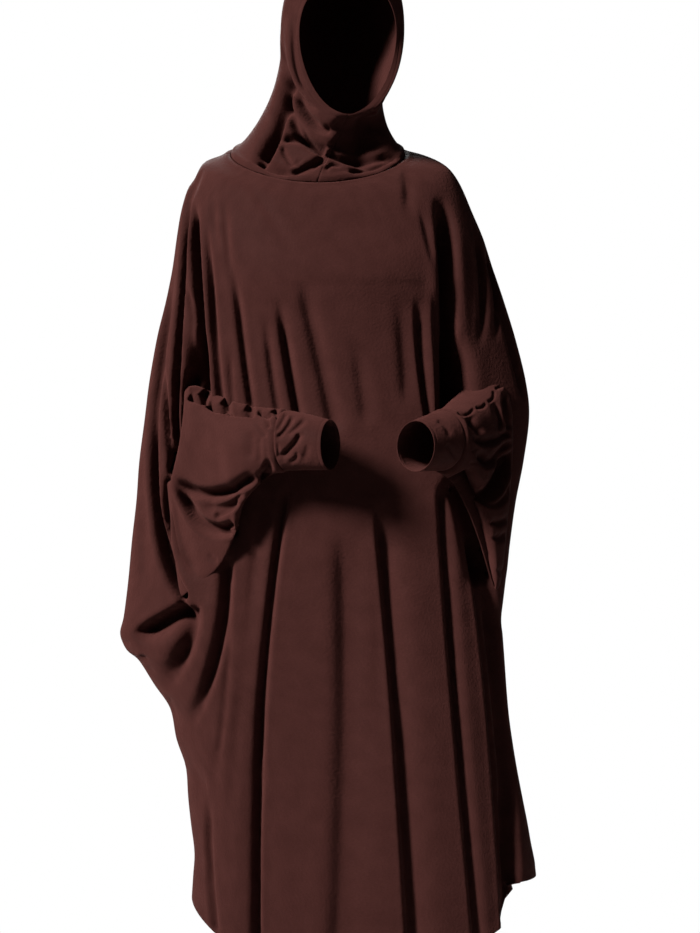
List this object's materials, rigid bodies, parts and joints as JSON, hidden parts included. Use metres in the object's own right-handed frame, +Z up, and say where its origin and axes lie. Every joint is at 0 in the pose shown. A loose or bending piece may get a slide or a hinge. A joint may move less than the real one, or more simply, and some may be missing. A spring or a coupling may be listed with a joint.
{
  "type": "hooded batwing dress",
  "caption": "Full-length hooded batwing dress as a hollow worn form: face opening, forearm sleeves with hanging drape, close cuffs and an open folded skirt.",
  "frame": {"origin": "on the shoulder line, midway between the shoulders, inside the neck of the dress", "axes": "+Z up along the standing figure, the front of the dress faces -Y, the wearer's left is at +X"},
  "size_m": [0.5829, 0.3501, 1.4183],
  "materials": {
    "jersey": "dark brown jersey with a soft satin sheen"
  },
  "bodies": {
    "root": {"front": "jersey", "back": "jersey", "sleeve_right": "jersey", "sleeve_left": "jersey", "cuff_right": "jersey", "cuff_left": "jersey", "hood_right": "jersey", "hood_left": "jersey"}
  },
  "joints": []
}
